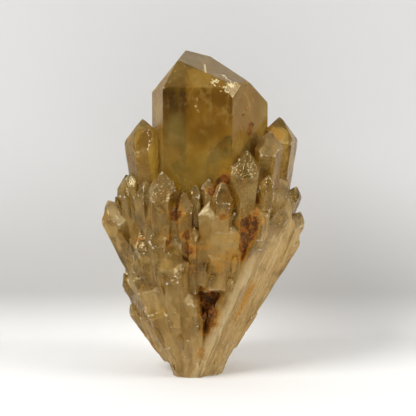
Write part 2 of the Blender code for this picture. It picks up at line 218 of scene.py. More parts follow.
class Nodes:
    """Adds nodes to a tree."""

    def __init__(self, tree):
        self.tree = tree

    def add(self, kind, settings=None, values=None, out=0):
        """A node of that type: its settings first, then its sockets' values or links."""
        node = self.tree.nodes.new(kind)
        for key, value in (settings or {}).items():
            setattr(node, key, value)
        for key, value in (values or {}).items():
            if isinstance(value, Wire):
                self.tree.links.new(value.socket, node.inputs[key])
            else:
                node.inputs[key].default_value = value
        return Wire(self, node.outputs[out]) if node.outputs else None

    def mix(self, factor, first, second):
        """A colour between two colours, each a wire or red, green and blue."""
        first, second = (c if isinstance(c, Wire) else rgba(c) for c in (first, second))
        values = {0: factor, 6: first, 7: second}
        return self.add("ShaderNodeMix", {"data_type": "RGBA", "clamp_factor": True}, values, 2)

    def layered(self, colour, *layers):
        """A colour with others laid over it in turn, each as thickly as its mask says."""
        for mask, over in layers:
            colour = self.mix(mask, colour, over)
        return colour

    def vector(self, operation, first, second=(0, 0, 0), out=0):
        values = {0: first, 1: second}
        return self.add("ShaderNodeVectorMath", {"operation": operation}, values, out)

    def scaled(self, vector, factor):
        values = {0: vector, "Scale": factor}
        return self.add("ShaderNodeVectorMath", {"operation": "SCALE"}, values)

    def length(self, vector):
        return self.vector("LENGTH", vector, out=1)

    def noise(self, place, scale, detail=3.0, rough=0.55):
        values = {"Vector": place, "Scale": scale, "Detail": detail, "Roughness": rough}
        return self.add("ShaderNodeTexNoise", None, values)


def rgba(colour):
    return (*colour, 1.0)


def chosen():
    """The sizes and colours set in the panel."""
    return bpy.context.scene.citrine


def new_object(name, points, faces, material=None):
    mesh = bpy.data.meshes.new(name)
    mesh.from_pydata([tuple(p) for p in points], [], [tuple(f) for f in faces])
    if material:
        mesh.materials.append(material)
    made = bpy.data.objects.new(name, mesh)
    bpy.context.scene.collection.objects.link(made)
    return made


def finish_piece(piece):
    """Gives a piece the body that it moves with."""
    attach(piece, BODY)


# The crystal's mesh.


def welded_mesh(mesh):
    """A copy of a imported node's points and triangles, with its doubled points merged."""
    shape = bmesh.new()
    shape.from_mesh(mesh)
    bmesh.ops.remove_doubles(shape, verts=shape.verts, dist=WELD * MM)
    bmesh.ops.triangulate(shape, faces=shape.faces)
    points = np.array([v.co for v in shape.verts])
    shape.verts.index_update()
    faces = np.array([[v.index for v in f.verts] for f in shape.faces])
    shape.free()
    return points, faces


def halved(points, faces, longest):
    """One round of cutting every edge over the longest length in two, with no gaps left."""
    ends = np.stack([faces, np.roll(faces, -1, axis=1)], axis=2)
    pairs, where = np.unique(np.sort(ends.reshape(-1, 2), axis=1), axis=0, return_inverse=True)
    where = where.reshape(-1, 3)
    cut = np.linalg.norm(points[pairs[:, 0]] - points[pairs[:, 1]], axis=1) > longest
    middle = np.full(len(pairs), -1)
    middle[cut] = len(points) + np.arange(cut.sum())
    points = np.concatenate([points, points[pairs[cut]].mean(axis=1)])
    cuts = cut[where]
    count = cuts.sum(axis=1)
    # Turn each triangle so that its cut edges come first.
    turn = np.zeros(len(faces), int)
    one = count == 1
    two = count == 2
    turn[one] = np.argmax(cuts[one], axis=1)
    turn[two] = (np.argmin(cuts[two], axis=1) + 1) % 3
    order = (turn[:, None] + np.arange(3)) % 3
    a, b, c = np.take_along_axis(faces, order, axis=1).T
    p, q, r = np.take_along_axis(middle[where], order, axis=1).T
    three = count == 3
    made = [
        faces[count == 0],
        *(np.stack(corners, axis=1)[one] for corners in ((a, p, c), (p, b, c))),
        *(np.stack(corners, axis=1)[two] for corners in ((p, b, q), (a, p, q), (a, q, c))),
        *(
            np.stack(corners, axis=1)[three]
            for corners in ((a, p, r), (p, b, q), (r, q, c), (p, q, r))
        ),
    ]
    return points, np.concatenate(made), cut.any()


def refined(points, faces, longest):
    """The same surface in triangles with no edge over the longest length."""
    again = True
    while again:
        points, faces, again = halved(points, faces, longest)
    return points, faces


# A shorter sum of normals than this is left as it is, because it can't be divided by.
SHORTEST_NORMAL = 1e-12


def point_normals(points, faces):
    """The unit normal at each point, from the triangles around it."""
    a, b, c = (points[faces[:, k]] for k in range(3))
    across = np.cross(b - a, c - a)
    normals = np.zeros_like(points)
    for k in range(3):
        np.add.at(normals, faces[:, k], across)
    lengths = np.linalg.norm(normals, axis=1, keepdims=True)
    return normals / np.maximum(lengths, SHORTEST_NORMAL)


# How closed in a point is: rays to the sky, how far they reach, how far off the surface they start
# and how much they lean with its normal.
SKY_RAYS = 10
SKY_REACH = 7.0
SKY_LIFT = 0.05
SKY_LEAN = 1.05
SKY_SEED = 5


def closed_in(points, faces):
    """How closed in each point is, 0 in the open and 1 deep in a crevice."""
    tree = BVHTree.FromPolygons(points.tolist(), faces.tolist())
    normals = point_normals(points, faces)
    hits = np.zeros(len(points))
    sky = np.random.default_rng(SKY_SEED).normal(size=(SKY_RAYS, 3))
    sky /= np.linalg.norm(sky, axis=1, keepdims=True)
    starts = points + normals * SKY_LIFT * MM
    for k in range(len(points)):
        start = Vector(starts[k])
        for ray in normals[k] * SKY_LEAN + sky:
            if tree.ray_cast(start, Vector(ray), SKY_REACH * MM)[0] is not None:
                hits[k] += 1
    return hits / SKY_RAYS


def smoothed(values, faces, rounds, weight=1.0):
    """Values at the points, each moved towards the mean of its neighbours."""
    pairs = np.concatenate([faces[:, [0, 1]], faces[:, [1, 2]], faces[:, [2, 0]]])
    pairs = np.concatenate([pairs, pairs[:, ::-1]])
    count = np.bincount(pairs[:, 0], minlength=len(values))
    for _ in range(rounds):
        total = np.zeros_like(values)
        np.add.at(total, pairs[:, 0], values[pairs[:, 1]])
        mean = total / (count[:, None] if values.ndim > 1 else count)
        values = values + (mean - values) * weight
    return values


# A point this share of the longest edge below its neighbours is a full crease.
FULL_BEND = 0.25


def bend_at(points, faces):
    """How far each point lies below the mean of its neighbours: 1 in a crease, -1 on an edge."""
    out = smoothed(points, faces, 1) - points
    bend = (out * point_normals(points, faces)).sum(axis=1)
    return bend / (chosen().detail * FULL_BEND)


def faded(values, low, high):
    """0 at low, 1 at high and even between them."""
    return np.clip((values - low) / (high - low), 0, 1)


# The tall crystal's prism faces: azimuth, and distance from the middle line. The second is its
# widest one, which looks to the front. A point this close to a face is on it.
TALL_SIDES = ((-68, 15.4), (-8, 13.4), (52, 17.5), (112, 20.4), (172, 12.5), (232, 10.5))
TALL_FRONT = TALL_SIDES[1]
TALL_SKIN = 0.05
TALL_SHOWS_ABOVE = 45.0


def out_towards(points, azimuth):
    """How far out each point lies towards an azimuth, in millimetres from the middle line."""
    angle = math.radians(azimuth)
    return points[:, 0] / MM * math.sin(angle) - points[:, 1] / MM * math.cos(angle)


def on_tall_crystal(points):
    """Whether each point is on the tall crystal, not on one beside it."""
    inside = points[:, 2] > TALL_SHOWS_ABOVE * MM
    for azimuth, away in TALL_SIDES:
        inside &= out_towards(points, azimuth) < away + TALL_SKIN
    return inside


def on_front_face(points):
    """Whether each point lies in the plane of the tall crystal's front face."""
    azimuth, away = TALL_FRONT
    return abs(out_towards(points, azimuth) - away) < TALL_SKIN


# The slab on the right: how its left edge leans, where that edge lies and how soft it is, and
# where the slab ends at the top.
SLAB_EDGE_LEAN = 0.55
SLAB_EDGE = (-8.0, -3.0)
SLAB_TOP = (58.0, 50.0)


def slab_at(points):
    """How much each point belongs to the slab on the right."""
    x, z = points[:, 0] / MM, points[:, 2] / MM
    return faded(x - SLAB_EDGE_LEAN * z, *SLAB_EDGE) * faded(z, *SLAB_TOP)


def frost_at(points):
    """How milky each point is, from the balls of frost and from what lies beside the tall crystal."""
    clear = np.ones(len(points))
    for middle, reach, amount in FROST:
        away = np.linalg.norm((points / MM - middle) / reach, axis=1)
        clear *= 1 - amount * np.clip(FROST_GAIN * (1 - away), 0, 1) ** FROST_POWER
    low = faded(points[:, 2] / MM, FROST_TOP, FROST_TOP - FROST_FADE)
    beside = FROST_BESIDE + (FROST_LOW - FROST_BESIDE) * low
    clear *= 1 - np.where(on_tall_crystal(points), 0, beside)
    return 1 - clear


def near(points, places):
    """How near each point is to the middles in a table, from 0 to 1."""
    clean = np.ones(len(points))
    for middle, reach, amount in places:
        away = np.linalg.norm(points / MM - middle, axis=1) / reach
        clean *= 1 - amount * np.clip(1 - away, 0, 1) ** STAIN_POWER
    return 1 - clean


def mesh_arrays(mesh):
    """A mesh's points and triangles."""
    points = np.zeros(len(mesh.vertices) * 3)
    mesh.vertices.foreach_get("co", points)
    faces = np.zeros(len(mesh.polygons) * 3, int)
    mesh.polygons.foreach_get("vertices", faces)
    return points.reshape(-1, 3), faces.reshape(-1, 3)


def values_of(mesh, name):
    """The numbers kept at the mesh's points under that name."""
    values = np.zeros(len(mesh.vertices))
    mesh.attributes[name].data.foreach_get("value", values)
    return values


def set_values(mesh, **values):
    """Keeps each row of numbers at the mesh's points under that name."""
    for name, value in values.items():
        row = mesh.attributes.get(name) or mesh.attributes.new(name, "FLOAT", "POINT")
        row.data.foreach_set("value", np.asarray(value, np.float32))


# Geometry Nodes.


def new_geometry_tree(name, inputs):
    """A Geometry Nodes tree with a mesh in, a mesh out and the named inputs."""
    tree = bpy.data.node_groups.new(name, "GeometryNodeTree")
    tree.interface.new_socket("Geometry", in_out="INPUT", socket_type="NodeSocketGeometry")
    for label, (kind, value) in inputs.items():
        made = tree.interface.new_socket(label, in_out="INPUT", socket_type=kind)
        made.default_value = value
    tree.interface.new_socket("Geometry", in_out="OUTPUT", socket_type="NodeSocketGeometry")
    nodes = Nodes(tree)
    start = tree.nodes.new("NodeGroupInput")
    wires = {socket.name: Wire(nodes, socket) for socket in start.outputs if socket.name}
    return nodes, wires


def end_geometry_tree(nodes, geometry, material):
    """Ends the tree in Realize Instances and Set Material."""
    whole = nodes.add("GeometryNodeRealizeInstances", None, {0: geometry})
    dressed = nodes.add("GeometryNodeSetMaterial", None, {0: whole, "Material": material})
    end = nodes.tree.nodes.new("NodeGroupOutput")
    nodes.tree.links.new(dressed.socket, end.inputs[0])


def applied(piece, nodes, values):
    """Gives the piece the tree's result as its own plain mesh."""
    modifier = piece.modifiers.new(nodes.tree.name, "NODES")
    modifier.node_group = nodes.tree
    for item in nodes.tree.interface.items_tree:
        if item.in_out == "INPUT" and item.name in values:
            modifier[item.identifier] = values[item.name]
    graph = bpy.context.evaluated_depsgraph_get()
    mesh = bpy.data.meshes.new_from_object(piece.evaluated_get(graph))
    piece.modifiers.clear()
    old = piece.data
    piece.data = mesh
    bpy.data.meshes.remove(old)


def along_growth(nodes, place, centre, across, along):
    """Coordinates that count finely across the way of growth, and along it away from a centre."""
    arm = nodes.vector("SUBTRACT", place, tuple(Vector(centre) * MM))
    return nodes.scaled(nodes.vector("NORMALIZE", arm), nodes.length(arm) * along + across)


def stored(nodes, geometry, **values):
    """The geometry with each value kept at its points under that name."""
    for name, value in values.items():
        at_points = {"data_type": "FLOAT", "domain": "POINT"}
        geometry = nodes.add("GeometryNodeStoreNamedAttribute", at_points, {
            0: geometry, "Name": name, "Value": value,
        })
    return geometry


def kept(nodes, name):
    """The values kept at the mesh's points under that name, in a Geometry Nodes tree."""
    return nodes.add("GeometryNodeInputNamedAttribute", {"data_type": "FLOAT"}, {"Name": name})


# How high the relief's parts stand beside each other, and the level that the facets lie at.
RIDGE_SHARE = 1.2
FIBRE_SHARE = 0.6
FACET_SHARE = 1.1
FACET_LEVEL = 0.35


def growth_relief(material):
    """Keeps the patterns of growth at the points, and raises frosted crystal in ridges and facets."""
    nodes, wires = new_geometry_tree("growth relief", {
        "Height": ("NodeSocketFloat", 0.001),
        "Cloud fineness": ("NodeSocketFloat", 130.0),
        "Broad fineness": ("NodeSocketFloat", 45.0),
        "Streaks across": ("NodeSocketFloat", 34.0),
        "Streaks along": ("NodeSocketFloat", 60.0),
        "Fibres across": ("NodeSocketFloat", 85.0),
        "Fibres along": ("NodeSocketFloat", 16.0),
        "Facets across": ("NodeSocketFloat", 16.0),
        "Facets along": ("NodeSocketFloat", 110.0),
    })
    place = nodes.add("GeometryNodeInputPosition")

    def drawn_out(name, centre):
        return along_growth(nodes, place, centre, wires[name + " across"], wires[name + " along"])

    frost = kept(nodes, "frost")
    slab = kept(nodes, "slab")
    streaks = nodes.noise(drawn_out("Streaks", FAN_CENTRE), 1.0)
    fibres = nodes.noise(drawn_out("Fibres", SLAB_CENTRE), 1.0)
    # Flat-sided cells drawn out along the growth: facets, each with a tone of its own.
    cells = nodes.add("ShaderNodeTexVoronoi", {"distance": "CHEBYCHEV"}, {
        "Vector": drawn_out("Facets", FAN_CENTRE), "Scale": 1.0,
    })
    geometry = stored(
        nodes, wires["Geometry"],
        cloud=nodes.noise(place, wires["Cloud fineness"], 4.0),
        broad=nodes.noise(place, wires["Broad fineness"], 1.0),
        grown=streaks * (1 - slab) + fibres * slab,
        tone=nodes.add("ShaderNodeSeparateXYZ", None, {0: cells.other(1)}),
    )
    ridges = (kept(nodes, "grown") - 0.5) * (slab * FIBRE_SHARE + RIDGE_SHARE)
    facets = (FACET_LEVEL - cells) * FACET_SHARE
    shift = nodes.scaled(
        nodes.add("GeometryNodeInputNormal"), (ridges + facets) * frost * wires["Height"],
    )
    moved = nodes.add("GeometryNodeSetPosition", None, {0: geometry, "Offset": shift})
    end_geometry_tree(nodes, moved, material)
    return nodes


def random_number(nodes, low, high, seed):
    values = {2: low, 3: high, "Seed": seed}
    return nodes.add("FunctionNodeRandomValue", {"data_type": "FLOAT"}, values, 1)


# A young crystal: how much its end narrows in width and in depth, its spread of widths, depths
# and lengths, how far it strays, and the most that may grow on a square metre.
TIP_TAPER = (-0.92, -0.62)
YOUNG_WIDTHS = (0.72, 1.25)
YOUNG_DEPTHS = (0.6, 1.0)
YOUNG_LENGTHS = (0.55, 1.3)
YOUNG_STRAY = 0.22
YOUNG_DENSITY = 600000.0


def pointed_prism(nodes, tip, out):
    """A six-sided crystal one unit long and two wide, whose end stands out past its origin."""
    prism = nodes.add("GeometryNodeMeshCylinder", {"fill_type": "NGON"}, {
        "Vertices": 6, "Side Segments": 2, "Radius": 1.0, "Depth": 1.0,
    })
    x = nodes.add("ShaderNodeSeparateXYZ", None, {0: nodes.add("GeometryNodeInputPosition")})
    y, z = x.other(1), x.other(2)
    # The prism has three rings of points, at -0.5, 0 and 0.5.
    top = z.maths("GREATER_THAN", 0.4)
    middle = z.maths("GREATER_THAN", -0.1) - top
    shift = nodes.add("ShaderNodeCombineXYZ", None, {
        0: x * top * TIP_TAPER[0], 1: y * top * TIP_TAPER[1],
        2: middle * (0.5 - tip) + (out - 0.5),
    })
    return nodes.add("GeometryNodeSetPosition", None, {0: prism, "Offset": shift})


def young_crystals(material):
    """Grows small pointed crystals out of a surface, away from a centre, where "grow" is over 0."""
    nodes, wires = new_geometry_tree("young crystals", {
        "Centre": ("NodeSocketVector", (0.0, 0.0, 0.0)),
        "Apart": ("NodeSocketFloat", 0.003),
        "Thickness": ("NodeSocketFloat", 0.001),
        "Length": ("NodeSocketFloat", 0.007),
        "Tip": ("NodeSocketFloat", 0.22),
        "Standing out": ("NodeSocketFloat", 0.30),
        "Lean": ("NodeSocketFloat", 0.22),
        "Seed": ("NodeSocketInt", 1),
    })
    seed = wires["Seed"]
    roots = nodes.add("GeometryNodeDistributePointsOnFaces", {"distribute_method": "POISSON"}, {
        "Mesh": wires["Geometry"], "Distance Min": wires["Apart"],
        "Density Max": YOUNG_DENSITY, "Density Factor": kept(nodes, "grow"), "Seed": seed,
    })
    # Each points away from the centre, leans with the surface and strays a little.
    arm = nodes.vector("SUBTRACT", nodes.add("GeometryNodeInputPosition"), wires["Centre"])
    leaning = nodes.scaled(roots.other(1), wires["Lean"])
    stray = nodes.add("FunctionNodeRandomValue", {"data_type": "FLOAT_VECTOR"}, {
        0: (-YOUNG_STRAY,) * 3, 1: (YOUNG_STRAY,) * 3, "Seed": seed + 1,
    })
    way = nodes.vector("ADD", nodes.vector("NORMALIZE", arm), leaning)
    way = nodes.vector("ADD", way, stray)
    roll = random_number(nodes, 0.0, math.tau, seed + 2)
    turn = nodes.add("FunctionNodeEulerToRotation", None, {
        0: nodes.add("ShaderNodeCombineXYZ", None, {2: roll}),
    })
    turn = nodes.add("FunctionNodeAlignRotationToVector", {"axis": "Z"}, {
        "Rotation": turn, "Vector": way,
    })
    wide = random_number(nodes, *YOUNG_WIDTHS, seed + 3)
    wide = wide * wide * wires["Thickness"]
    scale = nodes.add("ShaderNodeCombineXYZ", None, {
        0: wide, 1: wide * random_number(nodes, *YOUNG_DEPTHS, seed + 4),
        2: random_number(nodes, *YOUNG_LENGTHS, seed + 5) * wires["Length"],
    })
    grown = nodes.add("GeometryNodeInstanceOnPoints", None, {
        "Points": roots, "Instance": pointed_prism(nodes, wires["Tip"], wires["Standing out"]),
        "Rotation": turn, "Scale": scale,
    })
    end_geometry_tree(nodes, grown, material)
    return nodes


# Materials.


def new_material(name):
    material = bpy.data.materials.new(name)
    material.use_nodes = True
    tree = material.node_tree
    tree.nodes.clear()
    return material, Nodes(tree)


def attribute(nodes, name):
    """The values kept at the mesh's points under that name, in a material."""
    return nodes.add("ShaderNodeAttribute", {"attribute_name": name}, None, 2)


def spot(nodes, place, middle, reach):
    """1 in the middle of a soft ball and 0 outside it; sizes in millimetres."""
    away = nodes.vector("SUBTRACT", place, tuple(Vector(middle) * MM))
    return 1 - nodes.length(nodes.vector("DIVIDE", away, tuple(Vector(reach) * MM))).clamped()


def between(value, low, high, soft=0.4):
    """1 where a value lies between two others, with soft ends."""
    return value.ramp(low, low + soft) * value.ramp(high, high - soft)


# The iron film on the crystals warms what their faces mirror.
SHEEN = (1.0, 0.88, 0.55)
# How much clear and milky quartz bend light, and how much of it they let through.
CLEAR_IOR = 1.544
MILKY_IOR = 1.5
CLEAR_SHARE = 0.84
MILKY_SHARE = 0.36
# Even the milkiest quartz has only this share of milk in it.
MOST_MILKY = 0.93
# How strong the fine relief of the faces is, and how deep, in metres.
BUMP_STRENGTH = 0.45
BUMP_DEPTH = 0.0005

# Colours inside the clear crystal, and a painted reflection of the dark.
HONEY = (0.52, 0.30, 0.022)
PALE_HONEY = (0.76, 0.54, 0.11)
BROWN_HONEY = (0.29, 0.14, 0.008)
STRAW = (0.84, 0.62, 0.20)
CURTAIN = (0.36, 0.19, 0.015)
# Painted reflection of the dark in the panes under the tall crystal's top edge.
SMOKE = (0.20, 0.095, 0.006)
VEIL = (0.24, 0.115, 0.006)
GLEAM = (0.86, 0.66, 0.15)
WISP = (0.88, 0.72, 0.26)
GLOOM = (0.26, 0.13, 0.007)

# Colours of the milky quartz, besides that of the low crystals, which a user may change.
HIGH_MILK = (0.38, 0.19, 0.013)
CREAM = (0.70, 0.46, 0.14)
SLAB_CREAM = (0.70, 0.46, 0.165)
# The tall crystal's milky haze, which also paints reflections on its side and end faces and a highlight
# on its edges.
TALL_MILK = (0.42, 0.28, 0.08)
FRONT_MILK = (0.37, 0.215, 0.013)
# A random tone for each facet, also a painted reflection as facets catch the light differently.
PALE_FACET = (0.80, 0.56, 0.22)
DARK_WINDOW = (0.19, 0.085, 0.006)
PALE_STREAK = (0.82, 0.60, 0.27)
# Painted light from above on the upward-facing end faces of the crystals beside the tall one.
END_FACE = (0.86, 0.68, 0.36)
ROOT = (0.62, 0.43, 0.20)
# Painted shade in the hollows between the crystals.
DEEP = (0.20, 0.09, 0.006)
# Painted glints: small highlights on the milky quartz.
GLINT = (1.0, 0.92, 0.70)
DARK_STRAND = (0.42, 0.25, 0.075)
PALE_STRAND = (0.94, 0.78, 0.46)
# Painted highlight on the slab's ridge, and painted shade in the valley beside it.
PALE_RIDGE = (0.84, 0.64, 0.33)
VALLEY = (0.40, 0.26, 0.10)
# Pale worn edges, with a painted highlight along them.
WORN_EDGE = (0.88, 0.76, 0.52)
# Colour of the bright flakes and the needle, and of the painted sparkle and rim highlights.
FLAKE = (0.92, 0.80, 0.44)

# Colours of the iron besides the two that a user may change, and the brown of the seams, with
# painted shade.
# Brown seams in the creases, with painted shade where they are closed in.
SEAM = (0.13, 0.055, 0.006)
BRIGHT_RUST = (0.44, 0.135, 0.008)

# The tall crystal's window. Two dark panes under its top edge, a painted reflection of the dark:
# the left one's width and its soft lower end, and the right one's, and how far each slants.
LEFT_PANE = ((9.8, 18.6), (85.0, 92.5), 0.24)
RIGHT_PANE = ((-0.8, 12.0), (94.2, 95.4), 0.62)
# Soft balls in it, each a middle and a reach: a brown veil, a pale gleam and a spray of painted
# sparkles.
VEIL_BALL = ((1.5, -13.4, 81.5), (10.0, 8.0, 8.0))
GLEAM_BALL = ((-7.4, -12.6, 83.5), (4.5, 8.0, 7.0))
CHIP_BALL = ((8.0, -12.5, 98.7), (5.0, 6.0, 4.0))
# The heights between which the gleam and the haze set in, from the higher one down.
GLEAM_FADE = (79.0, 67.0)
HAZE_FADE = (86.0, 62.0)
# Bright flakes, inner cracks painted with the light that they reflect: the height that they turn
# about, a slant, the width, the height, which way their ends are ragged, and how bright they are.
FLAKES = (
    (93.3, 0.25, (-1.3, -0.4), (92.0, 94.2), 1.0, 0.6),
    (90.0, 0.5, (-1.4, -0.2), (88.4, 91.6), -1.0, 0.8),
)
# The needle on the broad end face: its width, its length from front to back, what it leans by
# and turns about, and the height that it lies above.
NEEDLE = ((1.2, 2.2), (-10.4, -3.4))
NEEDLE_LEAN = 0.05
NEEDLE_TURN = -6.0
NEEDLE_ABOVE = (99.5, 100.0)
# Where the window ends at the right, at the left and at the top. Past these, the tall crystal's
# other faces get a painted reflection.
RIGHT_SIDE = (10.2, 10.9)
LEFT_SIDE = (-11.4, -12.2)
END_SIDE = (95.4, 96.2)

# The slab: how its bands lean, the ridge with its painted highlight, the valley beside it with
# its painted shade, and the ochre streak's width and height.
BAND_LEAN = 0.458
RIDGE_BAND = (-4.2, 0.2)
VALLEY_BAND = (-0.4, 1.8)
STREAK_BAND = (1.0, 4.4)
STREAK_HEIGHT = (17.0, 34.0)

# What the crystal's material reads from the mesh.
KEPT_VALUES = (
    "frost", "cavity", "rust", "film", "slab", "crease", "edge", "tall", "front", "ends",
    "cloud", "broad", "grown", "tone",
)
# How fine its noises are, in turns a metre.
GRAIN_FINENESS = 420.0
SPECK_FINENESS = 1100.0
CURTAIN_FINENESS = (420.0, 420.0, 55.0)
WISP_FINENESS = (170.0, 170.0, 95.0)
# The same across the way of growth and along it.
STEP_FINENESS = (4.0, 1500.0)
STRAND_FINENESS = (120.0, 20.0)


def crystal_surface(nodes):
    """What the crystal's colours follow: its place in millimetres, noises and kept values."""
    place = nodes.add("ShaderNodeTexCoord", None, None, 3)
    at = SimpleNamespace(**{name: attribute(nodes, name) for name in KEPT_VALUES})
    at.place = place
    at.x = nodes.add("ShaderNodeSeparateXYZ", None, {0: nodes.scaled(place, 1 / MM)})
    at.y = at.x.other(1)
    at.z = at.x.other(2)
    at.besides = 1 - at.tall
    at.grain = nodes.noise(place, GRAIN_FINENESS, 2.0, 0.6)
    at.speck = nodes.noise(place, SPECK_FINENESS, 1.0, 0.7)
    at.curtain = nodes.noise(nodes.vector("MULTIPLY", place, CURTAIN_FINENESS), 1.0)
    at.wisp = nodes.noise(nodes.vector("MULTIPLY", place, WISP_FINENESS), 1.0, 4.0, 0.62)
    # Lines across the way of growth, as prism faces have, and fine strands on the slab.
    steps = along_growth(nodes, place, FAN_CENTRE, *STEP_FINENESS)
    strands = along_growth(nodes, place, SLAB_CENTRE, *STRAND_FINENESS)
    at.steps = nodes.noise(steps, 1.0, 1.0)
    at.strand = nodes.noise(strands, 1.0, 2.0, 0.6)
    at.wobble = (at.cloud - 0.5) * 2.4 + (at.grain - 0.5) * 0.6
    return at


def add_window(nodes, at):
    """The tall crystal's window: panes painted as a reflection of the dark, veil, gleam, wisps, bright
    flakes, painted sparkle, painted reflections on the side and end faces and a painted highlight on the
    edges.
    """
    # The panes: a painted reflection of the dark under the top edge.
    wide, high, slant = LEFT_PANE
    left = between(at.x + at.z * slant + at.wobble * 0.5, *wide) * (at.z + at.wobble).ramp(*high)
    wide, high, slant = RIGHT_PANE
    right = (at.z + at.x * slant + at.wobble * 0.7).ramp(*high) * between(at.x, *wide)
    at.smoke = (left + right * 0.8).clamped() * at.front
    at.veil = (spot(nodes, at.place, *VEIL_BALL) + at.wobble * 0.16).ramp(0.0, 0.9) * at.front
    gleam = (spot(nodes, at.place, *GLEAM_BALL) + at.wobble * 0.08).ramp(0.1, 0.6)
    at.gleam = (gleam + at.z.ramp(*GLEAM_FADE) * 0.7).clamped() * at.front
    ragged = (at.cloud * 0.6 + at.grain * 0.4).ramp(0.42, 0.58)
    at.wisps = between(at.wisp, 0.47, 0.56, 0.035) * ragged * at.tall
    at.gloom = at.wisp.ramp(0.44, 0.36) * at.front

    chip = at.wobble * 0.35
    flakes = 0
    for turn, slant, wide, high, side, amount in FLAKES:
        across = at.x + (at.z - turn) * slant + chip
        flake = between(across, *wide, 0.3) * between(at.z + chip * side, *high)
        flakes = flake * amount + flakes
    flakes = flakes * (at.grain * 0.6 + at.speck * 0.4).ramp(0.40, 0.56)
    wide, long = NEEDLE
    needle = between(at.x + (at.y - NEEDLE_TURN) * NEEDLE_LEAN, *wide, 0.3)
    needle = needle * between(at.y, *long) * at.z.ramp(*NEEDLE_ABOVE)
    # Painted sparkle: small highlights near the top of the tall crystal.
    chips = spot(nodes, at.place, *CHIP_BALL).ramp(0.05, 0.2)
    chips = chips * (at.grain + (at.speck - 0.5) * 0.7).ramp(0.54, 0.62)
    # Bright: flakes painted with their reflection, the needle, and the painted sparkle.
    at.bright = (flakes * at.front + needle * 0.75 + chips).clamped() * at.tall

    # A painted highlight along the tall crystal's edges.
    at.rim = at.edge.ramp(0.26, 0.55) * at.tall * 0.55
    # Painted reflections on the tall crystal's side and end faces, shown as milky quartz.
    sides = at.x.ramp(*RIGHT_SIDE) * 0.20 + at.x.ramp(*LEFT_SIDE) * 0.32
    sides = sides + at.z.ramp(*END_SIDE) * 0.16
    low = (at.z + (at.cloud - 0.5) * 16.0 + (at.curtain - 0.5) * 10.0).ramp(*HAZE_FADE)
    inner = low * 0.6 + at.curtain.ramp(0.5, 0.75) * 0.28 + at.wisps * 0.16
    at.haze = (sides + inner) * at.tall + at.rim


def add_quartz(at):
    """The milky quartz: windows of clear crystal in it, painted shade in the hollows, painted highlights
    in small specks, and the slab's bands, with a painted highlight on the ridge and painted shade beside
    it.
    """
    windows = (at.cloud - 0.5) * -3.0 + (at.grown - 0.5) * 0.9
    windows = windows + (at.broad - 0.5) * 1.6 + (at.grain - 0.5) * 0.8
    low_down = 0.45 + at.z.ramp(10.0, 34.0) * 0.55
    at.windows = windows.ramp(-0.08, 0.50) * at.besides * low_down
    # Painted shade, darker the more closed in the hollow is.
    depth = (at.cavity + (at.grain - 0.5) * 0.4).ramp(0.12, 0.6)
    at.depth = depth * at.besides * (1 - at.slab * 0.6)
    # Painted glints: small highlights, more of them near edges.
    glints = (at.speck * 0.5 + at.grain * 0.45 + at.edge * 0.3).ramp(0.62, 0.70)
    at.glints = glints * at.besides * (1 - at.ends * 0.8)
    across = at.x - at.z * BAND_LEAN + (at.grown - 0.5) * 6.0
    # The ridge is painted pale as a highlight, the valley beside it dark as shade.
    at.ridge = between(across, *RIDGE_BAND, 1.2) * at.slab
    at.valley = between(across, *VALLEY_BAND, 0.9) * at.slab
    streak = between(across, *STREAK_BAND, 1.2) * between(at.z, *STREAK_HEIGHT, 4.0)
    at.streak = streak * at.slab * at.grown.ramp(0.25, 0.42)


def add_iron(nodes, at):
    """The stains: rust in the hollows, an ochre film around it and ochre dust, and brown seams with
    painted shade that deepens where they are closed in.
    """
    ragged = (at.cloud - 0.5) * 1.3 + (at.grain - 0.5) * 1.4 + (at.speck - 0.5) * 0.6
    stain = at.rust * 1.15 + at.cavity * at.rust.ramp(0.0, 0.2) * 0.6 + ragged
    around = stain.ramp(0.36, 0.75) * at.rust.ramp(0.02, 0.12)
    alone = (at.film + ragged * 0.8).ramp(0.30, 0.75) * at.film.ramp(0.0, 0.15)
    hollow = (at.cavity + (at.cloud - 0.5) * 0.8 + at.rust * 0.5).ramp(0.24, 0.42)
    rusty = stain.ramp(0.60, 0.80) * at.rust.ramp(0.2, 0.45) * hollow
    for middle, reach in RUST_SPOTS:
        ball = spot(nodes, at.place, middle, reach)
        rusty = rusty + (ball + (at.speck - 0.5) * 0.8).ramp(0.25, 0.45)
    at.rusty = rusty.clamped()
    at.ochre = (around.maths("MAXIMUM", alone) * 0.8 + at.streak).clamped()
    at.dust = (at.cavity - 0.30 + (at.cloud - 0.5) * 0.9).ramp(0.15, 0.7) * at.frost * 0.5
    # Brown seams in the creases, with painted shade that deepens where they are closed in.
    seam = (at.crease + (at.grain - 0.5) * 0.6).ramp(0.12, 0.6)
    at.seam = seam * (0.25 + at.cavity * 0.75) * (1 - at.slab * 0.8)


def honey_colour(nodes, at):
    """The colour under the clear crystal's skin: what it lets through, its own clouding, and a painted
    reflection of the dark in the window's panes.
    """
    return nodes.layered(
        nodes.mix(at.cloud.ramp(0.35, 0.65), HONEY, PALE_HONEY),
        (at.broad.ramp(0.58, 0.44) * 0.8, BROWN_HONEY),
        (at.tone * at.besides * 0.4, STRAW),
        (at.curtain.ramp(0.42, 0.72) * at.tall * 0.55, CURTAIN),
        (at.smoke * 0.9, SMOKE),
        (at.veil * 0.6, VEIL),
        (at.gleam * 0.75, GLEAM),
        (at.wisps * 0.5, WISP),
        (at.gloom * 0.45, GLOOM),
    )


